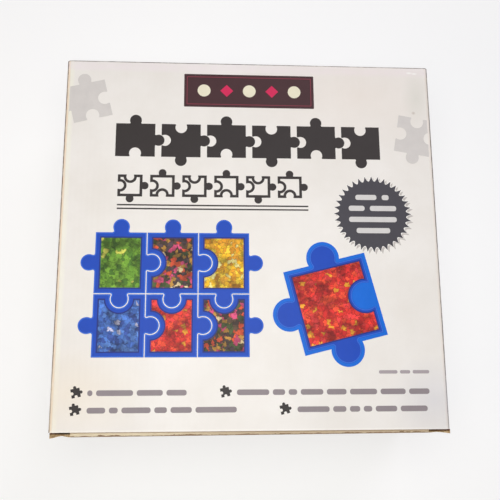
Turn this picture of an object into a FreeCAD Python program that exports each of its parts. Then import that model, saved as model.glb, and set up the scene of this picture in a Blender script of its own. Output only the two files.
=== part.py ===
import FreeCAD, Part
import math
import os

# A straight-tuck-end retail carton, printed on its front panel, with a nested set of
# jigsaw-shaped sorting trays and their lid inside.
# Frame, in millimetres: the carton lies on its back with the printed panel up.
# +X is the print's right, +Y is its top, +Z points out of the front panel, and the origin is
# the middle of the back panel's outer face.

# Carton sizes
CARTON_WIDTH = 210.0  # along X, over the side panels
CARTON_HEIGHT = 210.0  # along Y, over the two tuck flaps
CARTON_DEPTH = 92.0  # along Z, over the front and back panels
BOARD = 1.6  # fine-flute corrugated board
FOLD_RADIUS = 2.4  # outside of every creased fold

# Glued joint at the carton's left back corner
GLUE_FLAP_WIDTH = 28.0
GLUE_FLAP_TAPER = 14.0
GLUED_EDGE_LIFT = 0.3  # raw edge of the left panel above the back face

# Tuck flaps that close the two ends
END_CLEARANCE = 0.2  # raw panel edges to a tuck flap's inner face
FLAP_SIDE_CLEARANCE = 0.5  # each side, inside the carton's width
LIP_LENGTH = 14.0
LIP_SHOULDER = 11.0  # from the carton's side to where the lip starts
LIP_CORNER_RADIUS = 8.0
LIP_CLEARANCE = 0.3  # lip's fold under the front panel
SWING_CLEARANCE = 0.25  # lip's edge past the front panel as the flap swings
HINGE_GAP = 0.04  # each side of a tuck flap's crease
HINGE_CORNER_CUT = 3.0

# Dust flaps, which fold in behind the tuck flaps
DUST_FLAP_LENGTH = 62.0
DUST_FLAP_BACK_INSET = 3.5
DUST_FLAP_FRONT_INSET = 4.0
DUST_FLAP_STEP = 13.0  # along the flap, to where its front edge drops below the lip
DUST_FLAP_STEP_DROP = 7.0
DUST_FLAP_TIP_CUT = 16.0

# Sorting trays, which nest in a stack
TRAY_COUNT = 6
TRAY_CLEARANCE = 1.8  # each side, between the stack and the folded-in board
TRAY_CORNER_RADIUS = 4.5
TRAY_WALL = 1.8
TRAY_FLOOR = 1.8
STACK_HEADROOM = 6.3  # lid to the front panel, which the tuck lips need
TRAY_FOOT = 1.5  # how far a tray's foot drops into the one below
FOOT_CLEARANCE = 0.3
LID_THICKNESS = 1.8
TAB_HEAD_RADIUS = 22.0
TAB_HEAD_OFFSET = 13.0  # head's centre out from the tray's side
TAB_FIT = 0.6  # a notch is this much larger than a tab

# Ink, as thin fields of colour on the front panel
INK = 0.08
ARTWORK_MARGIN = 8.65  # label's upper edge to the carton's upper end
PRINT_FACETS = 7  # flat facets round a printed tab
PRINT_TAB_RADIUS = 0.17  # of a printed piece's shorter side
PRINT_TAB_OFFSET = 0.1
LABEL_CENTRE = (-0.7, 86.3)
LABEL_SIZE = (74.8, 20.1)
LABEL_MARK_PITCH = 13.0
LABEL_MARK_RADIUS = 3.7
HEADING_LEFT = -76.0
HEADING_CENTRE_Y = 55.7
HEADING_PIECE = (22.0, 19.5)
HEADING_PITCH = 25.6
HEADING_COUNT = 6
LINE_LEFT = -74.0
LINE_CENTRE_Y = 29.0
LINE_PIECE = (13.6, 12.6)
LINE_PITCH = 17.8
LINE_COUNT = 6
LINE_STROKE = 1.5
RULE_HEIGHT = 0.8
RULE_LEVELS = (17.9, 15.8)
BADGE_CENTRE = (68.3, 13.9)
BADGE_OUTER_RADIUS = 22.0
BADGE_INNER_RADIUS = 19.0
BADGE_TEETH = 36
BADGE_BAR_HEIGHT = 3.0
BADGE_BAR_LEVELS = (9.6, 3.2, -3.2, -9.6)
BADGE_BAR_WORDS = ((12.0, 4.0), (9.0, 15.0), (27.0,), (19.0,))
BADGE_WORD_GAP = 3.0
MOSAIC_LEFT = -85.0
MOSAIC_TOP = 2.5
MOSAIC_PITCH = (28.0, 34.0)
MOSAIC_COUNT = 6
MOSAIC_GAP = 0.25
MOSAIC_FRAME = 2.4
STACK_CENTRE = (45.5, -36.5)
STACK_PIECE = 43.0
STACK_TURN_DEG = 14.0
STACK_RIM = 1.6
STACK_BAND = 1.8
ICON_PIECE = 4.7
ICON_TURN_DEG = 12.0
ICON_PLACES = ((-91.7, -83.4), (-14.3, -83.4), (-92.0, -92.2), (17.0, -92.4))
WORD_HEIGHT = 2.9
WORD_GAP = 1.9
WORD_RUNS = (
    (-85.7, -83.5, (2.6, 19.0, 13.5, 10.5)),
    (-8.1, -83.5, (17.0, 6.5, 4.5, 12.0, 10.5, 14.5, 13.5, 11.0)),
    (-85.7, -92.3, (9.5, 4.5, 15.0, 6.5, 11.0, 21.5)),
    (23.7, -92.4, (17.0, 7.0, 5.5, 4.5, 11.5, 14.5)),
)
NOTE_PLACE = (67.9, -73.3)
NOTE_LENGTHS = (10.0, 5.5, 9.0)
NOTE_HEIGHT = 1.8
NOTE_GAP = 1.4
PALE_PIECE = 22.0
LEFT_PALE_PLACE = (-91.5, 78.5)
LEFT_PALE_TURN_DEG = 14.0
RIGHT_PALE_PLACE = (95.0, 60.5)
RIGHT_PALE_TURN_DEG = -10.0

# Worked out from the sizes above
HALF_WIDTH = CARTON_WIDTH / 2
HALF_HEIGHT = CARTON_HEIGHT / 2
PANEL_END = HALF_HEIGHT - BOARD - END_CLEARANCE
INNER_TOP = CARTON_DEPTH - BOARD
BIG = 4 * max(CARTON_WIDTH, CARTON_HEIGHT, CARTON_DEPTH)
CARTON_SIDE = min(CARTON_WIDTH, CARTON_HEIGHT)
TRAY_TAB = TAB_HEAD_RADIUS + TAB_HEAD_OFFSET
TRAY_BODY = CARTON_SIDE - 2 * (2 * BOARD + TRAY_CLEARANCE) - TRAY_TAB
STACK_HEIGHT = CARTON_DEPTH - 2 * BOARD - STACK_HEADROOM
TRAY_PITCH = (STACK_HEIGHT - TRAY_FOOT - LID_THICKNESS) / TRAY_COUNT
ARTWORK_TOP = LABEL_CENTRE[1] + LABEL_SIZE[1] / 2
ARTWORK_SCALE = (CARTON_SIDE / 2 - ARTWORK_MARGIN) / ARTWORK_TOP
LINE_TAB = (PRINT_TAB_RADIUS + PRINT_TAB_OFFSET) * min(LINE_PIECE)
RULE_LENGTH = LINE_PITCH * (LINE_COUNT - 1) + LINE_PIECE[0] + LINE_TAB


def vector(x, y, z=0.0):
    return FreeCAD.Vector(x, y, z)


def box(x0, y0, z0, x1, y1, z1):
    return Part.makeBox(x1 - x0, y1 - y0, z1 - z0, vector(x0, y0, z0))


def polygon_face(points):
    return Part.Face(Part.makePolygon(points + points[:1]))


# Folded board: a section with rounded corners, as thick as the board


def rounded_path(corners, radius):
    """Edges along the corners, each inner corner rounded by an arc that touches both runs."""
    edges = []
    start = corners[0]
    for before, corner, after in zip(corners, corners[1:], corners[2:]):
        back = (before - corner).normalize()
        ahead = (after - corner).normalize()
        half_turn = back.getAngle(ahead) / 2
        reach = radius / math.tan(half_turn)
        centre = corner + (back + ahead).normalize() * (radius / math.sin(half_turn))
        first = corner + back * reach
        last = corner + ahead * reach
        middle = centre + (corner - centre).normalize() * radius
        edges.append(Part.LineSegment(start, first).toShape())
        edges.append(Part.Arc(first, middle, last).toShape())
        start = last
    edges.append(Part.LineSegment(start, corners[-1]).toShape())
    return edges


def shifted_corners(corners, normals, distance):
    """The corners moved inwards so that every run shifts by the distance along its normal."""
    moved = [corners[0] + normals[0] * distance]
    for corner, before, after in zip(corners[1:], normals, normals[1:]):
        bisector = before + after
        moved.append(corner + bisector * (2 * distance / bisector.Length**2))
    moved.append(corners[-1] + normals[-1] * distance)
    return moved


def folded_board(corners, inward, along, length):
    """A strip of board through the outer corners, extruded by length along a direction.

    inward is a point on the inner side of every run.
    """
    normals = []
    for start, end in zip(corners, corners[1:]):
        run = (end - start).normalize()
        to_inside = inward - start
        normals.append((to_inside - run * to_inside.dot(run)).normalize())
    outer = rounded_path(corners, FOLD_RADIUS)
    inner_corners = shifted_corners(corners, normals, BOARD)
    inner = rounded_path(inner_corners, FOLD_RADIUS - BOARD)
    ends = [
        Part.LineSegment(corners[-1], inner_corners[-1]).toShape(),
        Part.LineSegment(inner_corners[0], corners[0]).toShape(),
    ]
    wire = Part.Wire(Part.__sortEdges__(outer + inner + ends))
    return Part.Face(wire).extrude(along * length)


def at_end(shape, y_sign):
    """A shape made at the carton's lower end, or its mirror image at the upper end."""
    return shape if y_sign < 0 else shape.mirror(vector(0, 0), vector(0, 1))


def at_side(shape, x_sign):
    """A shape made at the carton's right side, or its mirror image at the left side."""
    return shape if x_sign > 0 else shape.mirror(vector(0, 0), vector(1, 0))


def crease_wedge(flap_side):
    """All that lies on one side of the lower crease, on its flap's side or its panel's side."""
    shift = -HINGE_GAP if flap_side else HINGE_GAP
    low = vector(-BIG, -HALF_HEIGHT - BIG + shift, -BIG)
    high = vector(-BIG, -HALF_HEIGHT + BIG + shift, BIG)
    corner = vector(-BIG, low.y, BIG) if flap_side else vector(-BIG, high.y, -BIG)
    return polygon_face([low, high, corner]).extrude(vector(2 * BIG, 0, 0))


def tuck_strip():
    """Back panel end, tuck flap and lip at the carton's lower end, before the crease splits it."""
    fold_level = INNER_TOP - LIP_CLEARANCE
    mouth = BOARD + END_CLEARANCE
    reach = BOARD + LIP_LENGTH
    tip_level = math.sqrt((INNER_TOP - SWING_CLEARANCE) ** 2 + mouth**2 - reach**2)
    tilt = math.atan2(fold_level - tip_level, LIP_LENGTH)
    fold_corner = vector(0, -HALF_HEIGHT, fold_level)
    lip_run = vector(0, math.cos(tilt), -math.sin(tilt)) * (LIP_LENGTH + BOARD)
    corners = [
        vector(0, -HALF_HEIGHT + 2 * FOLD_RADIUS, 0),
        vector(0, -HALF_HEIGHT, 0),
        fold_corner,
        fold_corner + lip_run,
    ]
    inside = vector(0, 0, CARTON_DEPTH / 2)
    return folded_board(corners, inside, vector(1, 0, 0), CARTON_WIDTH)


def tuck_strip_at(x0, x1):
    strip = tuck_strip()
    strip.translate(vector(-HALF_WIDTH, 0, 0))
    return strip.common(box(x0, -BIG, -BIG, x1, BIG, BIG))


def lip_outline():
    """Prism that keeps the lip between its shoulders and rounds its two free corners."""
    left = -HALF_WIDTH + LIP_SHOULDER
    right = HALF_WIDTH - LIP_SHOULDER
    start = -HALF_HEIGHT - BOARD
    tip = -HALF_HEIGHT + BOARD + LIP_LENGTH
    prism = box(left, start, INNER_TOP - 2 * LIP_LENGTH, right, tip, CARTON_DEPTH)
    corners = []
    for edge in prism.Edges:
        middle = edge.CenterOfMass
        upright = abs(edge.Vertexes[0].Z - edge.Vertexes[-1].Z) > LIP_LENGTH
        if upright and abs(middle.y - tip) < BOARD / 2:
            corners.append(edge)
    return prism.makeFillet(LIP_CORNER_RADIUS, corners)


def tuck_flap(y_sign):
    """A tuck flap with its lip, closed."""
    x1 = HALF_WIDTH - FLAP_SIDE_CLEARANCE
    shoulder_level = INNER_TOP - LIP_CLEARANCE - FOLD_RADIUS + BOARD
    flap = tuck_strip_at(-x1, x1)
    panel = flap.common(box(-BIG, -BIG, -BIG, BIG, -HALF_HEIGHT + BOARD, shoulder_level))
    hinge = flap.common(box(-BIG, -BIG, -BIG, BIG, BIG, FOLD_RADIUS))
    lip = flap.common(lip_outline())
    flap = panel.fuse([hinge, lip]).common(crease_wedge(True))
    for side in (-1, 1):
        corner = [
            vector(side * (x1 + BOARD), -BIG, -BOARD),
            vector(side * (x1 - HINGE_CORNER_CUT - BOARD), -BIG, -BOARD),
            vector(side * (x1 + BOARD), -BIG, HINGE_CORNER_CUT + BOARD),
        ]
        flap = flap.cut(polygon_face(corner).extrude(vector(0, 2 * BIG, 0)))
    return at_end(flap.removeSplitter(), y_sign)


def hinge_end(y_sign):
    """Back panel's half of a tuck flap's crease."""
    flat = HALF_WIDTH - BOARD - FOLD_RADIUS
    half = tuck_strip_at(-flat, flat).common(box(-BIG, -BIG, -BIG, BIG, BIG, FOLD_RADIUS))
    return at_end(half.common(crease_wedge(False)), y_sign)


def dust_flap(x_sign, y_sign):
    """A dust flap, folded in from a side panel's end."""
    z0 = DUST_FLAP_BACK_INSET
    z1 = CARTON_DEPTH - DUST_FLAP_FRONT_INSET
    corners = [
        vector(HALF_WIDTH, -PANEL_END + 2 * FOLD_RADIUS, z0),
        vector(HALF_WIDTH, -PANEL_END, z0),
        vector(HALF_WIDTH - DUST_FLAP_LENGTH, -PANEL_END, z0),
    ]
    strip = folded_board(corners, vector(0, 0, z0), vector(0, 0, 1), z1 - z0)
    tip = HALF_WIDTH - DUST_FLAP_LENGTH
    outline = [
        vector(HALF_WIDTH + BOARD, -BIG, z0),
        vector(tip + DUST_FLAP_TIP_CUT / 2, -BIG, z0),
        vector(tip, -BIG, z0 + DUST_FLAP_TIP_CUT),
        vector(tip, -BIG, z1 - DUST_FLAP_STEP_DROP - DUST_FLAP_TIP_CUT),
        vector(tip + DUST_FLAP_TIP_CUT, -BIG, z1 - DUST_FLAP_STEP_DROP),
        vector(HALF_WIDTH - DUST_FLAP_STEP, -BIG, z1 - DUST_FLAP_STEP_DROP),
        vector(HALF_WIDTH - DUST_FLAP_STEP / 2, -BIG, z1),
        vector(HALF_WIDTH + BOARD, -BIG, z1),
    ]
    flap = strip.common(polygon_face(outline).extrude(vector(0, 2 * BIG, 0)))
    return at_end(at_side(flap, x_sign), y_sign)


def dust_fold_trim(x_sign, y_sign):
    """What a dust flap's rounded fold takes off the square end of its side panel."""
    z0 = DUST_FLAP_BACK_INSET
    z1 = CARTON_DEPTH - DUST_FLAP_FRONT_INSET
    x = HALF_WIDTH - FOLD_RADIUS
    y = -PANEL_END + FOLD_RADIUS
    corner = box(x, -PANEL_END - BOARD, z0, HALF_WIDTH + BOARD, y, z1)
    trim = corner.cut(Part.makeCylinder(FOLD_RADIUS, z1 - z0, vector(x, y, z0)))
    return at_end(at_side(trim, x_sign), y_sign)


def girth(half_length):
    """Back, right, front and left panels as one strip round the carton."""
    corners = [
        vector(-HALF_WIDTH + BOARD + FOLD_RADIUS, -half_length, 0),
        vector(HALF_WIDTH, -half_length, 0),
        vector(HALF_WIDTH, -half_length, CARTON_DEPTH),
        vector(-HALF_WIDTH, -half_length, CARTON_DEPTH),
        vector(-HALF_WIDTH, -half_length, GLUED_EDGE_LIFT),
    ]
    inside = vector(0, -half_length, CARTON_DEPTH / 2)
    return folded_board(corners, inside, vector(0, 1, 0), 2 * half_length)


def glue_flap():
    """Flap folded up from the back panel and glued inside the left panel."""
    length = PANEL_END - FOLD_RADIUS
    x = -HALF_WIDTH + BOARD
    corners = [
        vector(0, -length, 0),
        vector(x, -length, 0),
        vector(x, -length, GLUE_FLAP_WIDTH),
    ]
    strip = folded_board(corners, vector(0, -length, GLUE_FLAP_WIDTH), vector(0, 1, 0), 2 * length)
    outline = [
        vector(-BIG, -length, -BOARD),
        vector(-BIG, length, -BOARD),
        vector(-BIG, length, FOLD_RADIUS + BOARD),
        vector(-BIG, length - GLUE_FLAP_TAPER, GLUE_FLAP_WIDTH),
        vector(-BIG, -length + GLUE_FLAP_TAPER, GLUE_FLAP_WIDTH),
        vector(-BIG, -length, FOLD_RADIUS + BOARD),
    ]
    return strip.common(polygon_face(outline).extrude(vector(2 * BIG, 0, 0)))


def sleeve():
    """Four panels, glue flap, four dust flaps and both crease ends, folded from one sheet."""
    back_end = HALF_HEIGHT - FOLD_RADIUS
    above_back = box(-BIG, -BIG, FOLD_RADIUS, BIG, BIG, BIG)
    shell = girth(back_end).fuse([girth(PANEL_END).common(above_back), glue_flap()])
    for y_sign in (-1, 1):
        for x_sign in (-1, 1):
            shell = shell.cut(dust_fold_trim(x_sign, y_sign))
            shell = shell.fuse(dust_flap(x_sign, y_sign))
        shell = shell.fuse(hinge_end(y_sign))
    return shell.removeSplitter()


# Jigsaw outlines, for the trays and for the print


def jigsaw_side(start, end, sign, radius, offset, facets):
    """Edges from start to end, round a tab's head if sign is 1 or a notch's if it is -1.

    The head is one arc, or that many flat facets if facets isn't 0. A head that an inset has
    drawn clear of the side is left out.
    """
    if sign == 0 or offset >= radius:
        return [Part.LineSegment(start, end).toShape()]
    run = (end - start).normalize()
    out = vector(run.y, -run.x) * sign
    middle = (start + end) * 0.5
    head = middle + out * offset
    sweep = math.pi - math.acos(offset / radius)
    count = facets or 2
    points = []
    for index in range(count + 1):
        angle = sweep * (2 * index / count - 1)
        points.append(head + (out * math.cos(angle) + run * math.sin(angle)) * radius)
    edges = [Part.LineSegment(start, points[0]).toShape()]
    if facets:
        edges += [Part.LineSegment(a, b).toShape() for a, b in zip(points, points[1:])]
    else:
        edges.append(Part.Arc(*points).toShape())
    edges.append(Part.LineSegment(points[-1], end).toShape())
    return edges


def jigsaw_face(size, signs, tab, corner=0.0, inset=0.0, fit=0.0, facets=0):
    """A flat jigsaw piece about the origin, drawn in all round by the inset.

    size is its width and height, signs are for its bottom, right, top and left, and tab is
    its heads' radius and how far their centres are from its sides.
    """
    half_x = size[0] / 2 - inset
    half_y = size[1] / 2 - inset
    rounding = max(corner - inset, 0.0)
    corners = [
        vector(-half_x, -half_y),
        vector(half_x, -half_y),
        vector(half_x, half_y),
        vector(-half_x, half_y),
    ]
    edges = []
    for index, sign in enumerate(signs):
        start = corners[index]
        end = corners[(index + 1) % 4]
        run = (end - start).normalize()
        turn = vector(-run.y, run.x)
        radius = tab[0] - inset * sign + (fit if sign < 0 else 0.0)
        offset = tab[1] + inset * sign
        first = start + run * rounding
        last = end - run * rounding
        edges += jigsaw_side(first, last, sign, radius, offset, facets)
        if rounding:
            hub = last + turn * rounding
            middle = hub + (run - turn).normalize() * rounding
            edges.append(Part.Arc(last, middle, end + turn * rounding).toShape())
    return Part.Face(Part.Wire(edges))


# Trays and lid


def tray_prism(inset, bottom, top):
    """Tray's outline in its place in the carton, drawn in by the inset and extruded."""
    tab = (TAB_HEAD_RADIUS, TAB_HEAD_OFFSET)
    signs = (1, 1, -1, -1)
    size = (TRAY_BODY, TRAY_BODY)
    face = jigsaw_face(size, signs, tab, TRAY_CORNER_RADIUS, inset, TAB_FIT)
    face.translate(vector(-TRAY_TAB / 2, TRAY_TAB / 2, bottom))
    return face.extrude(vector(0, 0, top - bottom))


def tray():
    """A tray on its own foot: a joggled wall lets the next tray's foot sit inside its rim."""
    foot_inset = TRAY_WALL + FOOT_CLEARANCE
    rim = TRAY_FOOT + TRAY_PITCH
    body = tray_prism(foot_inset, 0, TRAY_FOOT).fuse(tray_prism(0, TRAY_FOOT, rim))
    low_hollow = tray_prism(foot_inset + TRAY_WALL, TRAY_FLOOR, TRAY_FOOT + TRAY_WALL)
    hollow = tray_prism(TRAY_WALL, TRAY_FOOT + TRAY_WALL, rim + BOARD)
    return body.cut(low_hollow.fuse(hollow)).removeSplitter()


def lid():
    """A flat lid with a plug that drops into the top tray."""
    foot_inset = TRAY_WALL + FOOT_CLEARANCE
    plug = tray_prism(foot_inset, 0, TRAY_FOOT)
    plate = tray_prism(0, TRAY_FOOT, TRAY_FOOT + LID_THICKNESS)
    under = tray_prism(foot_inset + TRAY_WALL, -BOARD, TRAY_FOOT)
    return plate.fuse(plug).cut(under).removeSplitter()


# Print on the front panel


def ink(faces):
    """Thin solids that lie on the front panel, from faces scaled to fit it."""
    solids = []
    for face in faces:
        face.scale(ARTWORK_SCALE)
        face.translate(vector(0, 0, CARTON_DEPTH))
        solids.append(face.extrude(vector(0, 0, INK)))
    return Part.makeCompound(solids)


def bar(left, centre_y, length, height):
    half = height / 2
    low = centre_y - half
    high = centre_y + half
    return polygon_face(
        [vector(left, low), vector(left + length, low), vector(left + length, high), vector(left, high)]
    )


def word_bars(left, centre_y, lengths, height, gap):
    bars = []
    for length in lengths:
        bars.append(bar(left, centre_y, length, height))
        left += length + gap
    return bars


def small_piece(size, signs, place, turn=0.0, inset=0.0):
    """A printed jigsaw piece, whose tabs are in proportion to its shorter side."""
    unit = min(size)
    tab = (PRINT_TAB_RADIUS * unit, PRINT_TAB_OFFSET * unit)
    face = jigsaw_face(size, signs, tab, inset=inset, facets=PRINT_FACETS)
    face.rotate(vector(0, 0), vector(0, 0, 1), turn)
    face.translate(vector(*place))
    return face


def disc(x, y, radius, sides):
    points = []
    for index in range(sides):
        angle = 2 * math.pi * index / sides
        points.append(vector(x + radius * math.cos(angle), y + radius * math.sin(angle)))
    return polygon_face(points)


def label_marks(parity):
    """Every other mark in the label's row: discs for one parity, diamonds for the other."""
    marks = []
    for index in range(-2, 3):
        if index % 2 == parity:
            x = LABEL_CENTRE[0] + index * LABEL_MARK_PITCH
            marks.append(disc(x, LABEL_CENTRE[1], LABEL_MARK_RADIUS, 4 if parity else 16))
    return marks


def heading_pieces():
    """A row of bold pieces, with the tabs up and down in turn."""
    faces = []
    for index in range(HEADING_COUNT):
        upright = 1 if index % 2 else -1
        right = 1 if index < HEADING_COUNT - 1 else 0
        left = -1 if index else 0
        x = HEADING_LEFT + HEADING_PIECE[0] / 2 + index * HEADING_PITCH
        signs = (upright, right, -upright, left)
        faces.append(small_piece(HEADING_PIECE, signs, (x, HEADING_CENTRE_Y)))
    return faces


def line_pieces():
    """A row of smaller pieces, as outlines."""
    faces = []
    for index in range(LINE_COUNT):
        upright = -1 if index % 2 else 1
        signs = (upright, 1, -upright, -1)
        place = (LINE_LEFT + LINE_PIECE[0] / 2 + index * LINE_PITCH, LINE_CENTRE_Y)
        outline = small_piece(LINE_PIECE, signs, place)
        faces.append(outline.cut(small_piece(LINE_PIECE, signs, place, 0.0, LINE_STROKE)))
    return faces


def badge():
    points = []
    for index in range(2 * BADGE_TEETH):
        radius = BADGE_INNER_RADIUS if index % 2 else BADGE_OUTER_RADIUS
        angle = math.pi * index / BADGE_TEETH
        x = BADGE_CENTRE[0] + radius * math.cos(angle)
        points.append(vector(x, BADGE_CENTRE[1] + radius * math.sin(angle)))
    return polygon_face(points)


def badge_bars():
    bars = []
    for level, words in zip(BADGE_BAR_LEVELS, BADGE_BAR_WORDS):
        length = sum(words) + BADGE_WORD_GAP * (len(words) - 1)
        left = BADGE_CENTRE[0] - length / 2
        y = BADGE_CENTRE[1] + level
        bars += word_bars(left, y, words, BADGE_BAR_HEIGHT, BADGE_WORD_GAP)
    return bars


def mosaic_piece(index, inset):
    """One piece of the mosaic, drawn in by the inset: three to a row, rows downwards."""
    column = index % 3
    row = index // 3
    x = MOSAIC_LEFT + MOSAIC_PITCH[0] * (column + 0.5)
    y = MOSAIC_TOP - MOSAIC_PITCH[1] * (row + 0.5)
    signs = (0 if row else 1, 1, -1 if row else 1, -1 if column else 1)
    return small_piece(MOSAIC_PITCH, signs, (x, y), 0.0, inset)


def mosaic_frame(index):
    return mosaic_piece(index, MOSAIC_GAP).cut(mosaic_field(index))


def mosaic_field(index):
    return mosaic_piece(index, MOSAIC_GAP + MOSAIC_FRAME)


def stack_piece(inset):
    size = (STACK_PIECE, STACK_PIECE)
    return small_piece(size, (1, -1, 1, 1), STACK_CENTRE, STACK_TURN_DEG, inset)


def clipped_to_front(face):
    """The face without what would run past the front panel's folds."""
    edge = (HALF_WIDTH - FOLD_RADIUS) / ARTWORK_SCALE
    end = PANEL_END / ARTWORK_SCALE
    return face.common(bar(-edge, 0.0, 2 * edge, 2 * end))


def pale_pieces():
    size = (PALE_PIECE, PALE_PIECE)
    left = small_piece(size, (-1, -1, 1, 1), LEFT_PALE_PLACE, LEFT_PALE_TURN_DEG)
    right = small_piece(size, (1, -1, -1, -1), RIGHT_PALE_PLACE, RIGHT_PALE_TURN_DEG)
    return [clipped_to_front(left), clipped_to_front(right)]


def icons():
    size = (ICON_PIECE, ICON_PIECE)
    return [small_piece(size, (-1, 1, 1, -1), place, ICON_TURN_DEG) for place in ICON_PLACES]


def all_word_bars():
    bars = []
    for left, y, lengths in WORD_RUNS:
        bars += word_bars(left, y, lengths, WORD_HEIGHT, WORD_GAP)
    return bars


def printed():
    """Every ink, by node name."""
    label = bar(LABEL_CENTRE[0] - LABEL_SIZE[0] / 2, LABEL_CENTRE[1], *LABEL_SIZE)
    discs = label_marks(0)
    diamonds = label_marks(1)
    frames = [mosaic_frame(index) for index in range(MOSAIC_COUNT)]
    frames.append(stack_piece(0.0).cut(stack_piece(STACK_RIM)))
    fields = {
        "print_label": [label.cut(Part.makeCompound(discs + diamonds))],
        "print_label_discs": discs,
        "print_label_diamonds": diamonds,
        "print_heading_pieces": heading_pieces(),
        "print_line_pieces": line_pieces(),
        "print_rules": [bar(LINE_LEFT, y, RULE_LENGTH, RULE_HEIGHT) for y in RULE_LEVELS],
        "print_badge": [badge().cut(Part.makeCompound(badge_bars()))],
        "print_badge_bars": badge_bars(),
        "print_blue_frames": frames,
        "print_stack_band": [stack_piece(-STACK_BAND).cut(stack_piece(0.0))],
        "print_green_field": [mosaic_field(0)],
        "print_dark_fields": [mosaic_field(1), mosaic_field(5)],
        "print_yellow_field": [mosaic_field(2)],
        "print_blue_field": [mosaic_field(3)],
        "print_red_fields": [mosaic_field(4), stack_piece(STACK_RIM)],
        "print_icons": icons(),
        "print_word_bars": all_word_bars(),
        "print_note_bars": word_bars(*NOTE_PLACE, NOTE_LENGTHS, NOTE_HEIGHT, NOTE_GAP),
        "print_pale_pieces": pale_pieces(),
    }
    return {name: ink(faces) for name, faces in fields.items()}


def build():
    parts = {
        "carton_sleeve": sleeve(),
        "bottom_tuck_flap": tuck_flap(-1),
        "top_tuck_flap": tuck_flap(1),
    }
    for index in range(TRAY_COUNT):
        piece = tray()
        piece.translate(vector(0, 0, BOARD + index * TRAY_PITCH))
        parts[f"sorting_tray_{index + 1}"] = piece
    cover = lid()
    cover.translate(vector(0, 0, BOARD + TRAY_COUNT * TRAY_PITCH))
    parts["storage_lid"] = cover
    parts.update(printed())
    return parts


os.makedirs("parts", exist_ok=True)
for name, shape in build().items():
    shape.exportStep(f"parts/{name}.step")
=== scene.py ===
import math
from collections import namedtuple
from itertools import groupby

import bmesh
import bpy
from mathutils import Matrix, Vector
from mathutils.geometry import delaunay_2d_cdt


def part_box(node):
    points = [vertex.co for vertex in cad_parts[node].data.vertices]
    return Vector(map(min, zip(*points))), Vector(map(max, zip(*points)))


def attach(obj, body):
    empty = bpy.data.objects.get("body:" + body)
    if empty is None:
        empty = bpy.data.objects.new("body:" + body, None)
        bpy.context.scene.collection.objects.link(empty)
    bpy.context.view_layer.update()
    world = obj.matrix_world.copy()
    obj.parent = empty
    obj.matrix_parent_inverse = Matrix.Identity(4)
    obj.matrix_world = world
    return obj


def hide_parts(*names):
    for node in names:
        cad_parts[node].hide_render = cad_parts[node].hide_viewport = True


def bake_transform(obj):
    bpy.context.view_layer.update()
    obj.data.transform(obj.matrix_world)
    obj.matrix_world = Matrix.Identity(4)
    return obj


# A straight-tuck-end carton of coated fine-flute board, printed on its front panel, on its
# back on a pale floor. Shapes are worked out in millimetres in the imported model's frame.

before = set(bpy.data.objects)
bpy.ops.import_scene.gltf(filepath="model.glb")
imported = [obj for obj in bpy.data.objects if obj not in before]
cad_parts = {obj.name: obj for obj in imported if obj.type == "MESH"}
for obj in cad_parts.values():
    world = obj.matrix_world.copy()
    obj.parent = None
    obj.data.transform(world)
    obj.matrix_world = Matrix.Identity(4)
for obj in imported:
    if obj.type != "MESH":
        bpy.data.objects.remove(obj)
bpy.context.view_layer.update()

MM = 0.001


def millimetres(node):
    """A CAD node's lowest and highest corners, in millimetres."""
    return [Vector([round(value / MM, 3) for value in corner]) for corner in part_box(node)]


# Carton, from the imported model
SLEEVE_HIGH = millimetres("carton_sleeve")[1]
FLAP_LOW, FLAP_HIGH = millimetres("bottom_tuck_flap")
HALF_WIDTH = SLEEVE_HIGH.x
DEPTH = SLEEVE_HIGH.z
HALF_HEIGHT = -FLAP_LOW.y
FLAP_HALF = FLAP_HIGH.x

# Board
BOARD = 1.6
LINER = 0.28
MEDIUM = 0.16
FLUTE_PITCH = 3.2
FLUTE_SWING = 0.43
GROOVE = 0.45  # how far the wavy paper lies back between the liners at a raw edge
GROOVE_MARGIN = 1.5 * GROOVE
FOLD_RADIUS = 2.4

# Meshes
FOLD_STEPS = 10
SUPPORT = 0.4  # flat stretch kept beside a fold
GRID = 5.0
FLAP_GRID = 2.0
RIBBON_STEP = 0.32
RIBBON_INSETS = (0.06, 0.98)  # its two edges, as shares of the groove
SAME_PLACE = 0.004  # corners this near are one
LEAST_RUN = 0.02
PARALLEL = 1e-6  # change along a run that counts as none
MESH_TOLERANCE = 1e-4
INSIDE = 1  # asks for the faces inside the outlines
SHARP_DEG = 35.0

# Panels and flaps
END_CLEARANCE = 0.2
PANEL_END = HALF_HEIGHT - BOARD - END_CLEARANCE
BACK_END = HALF_HEIGHT - FOLD_RADIUS
GLUED_END = PANEL_END - FOLD_RADIUS
JOINT = GLUED_END - SUPPORT  # where a side panel's fold to a dust flap starts
INNER_TOP = DEPTH - BOARD
GLUED_EDGE_LIFT = 0.3
GLUE_GAP = 0.03
GLUE_FLAP_WIDTH = 28.0
GLUE_FLAP_TAPER = 14.0
DUST_FLAP_LENGTH = 62.0
DUST_FLAP_LOW = 3.5
DUST_FLAP_HIGH = DEPTH - 4.0
DUST_FLAP_STEP = 13.0
DUST_FLAP_STEP_DROP = 7.0
DUST_FLAP_TIP_CUT = 16.0
FLAP_START = FOLD_RADIUS + SUPPORT
LIP_LENGTH = 14.0
LIP_SHOULDER = 11.0
LIP_HALF = HALF_WIDTH - LIP_SHOULDER
LIP_CORNER_RADIUS = 8.0
LIP_CORNER_STEPS = 6
LIP_CLEARANCE = 0.3
FOLD_LEVEL = INNER_TOP - LIP_CLEARANCE
SWING_CLEARANCE = 0.25
SLIT = 0.3
SHOULDER_DROP = 1.4
HINGE_CORNER_CUT = 3.0
CREASE_HALF = HALF_WIDTH - BOARD - FOLD_RADIUS

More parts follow.
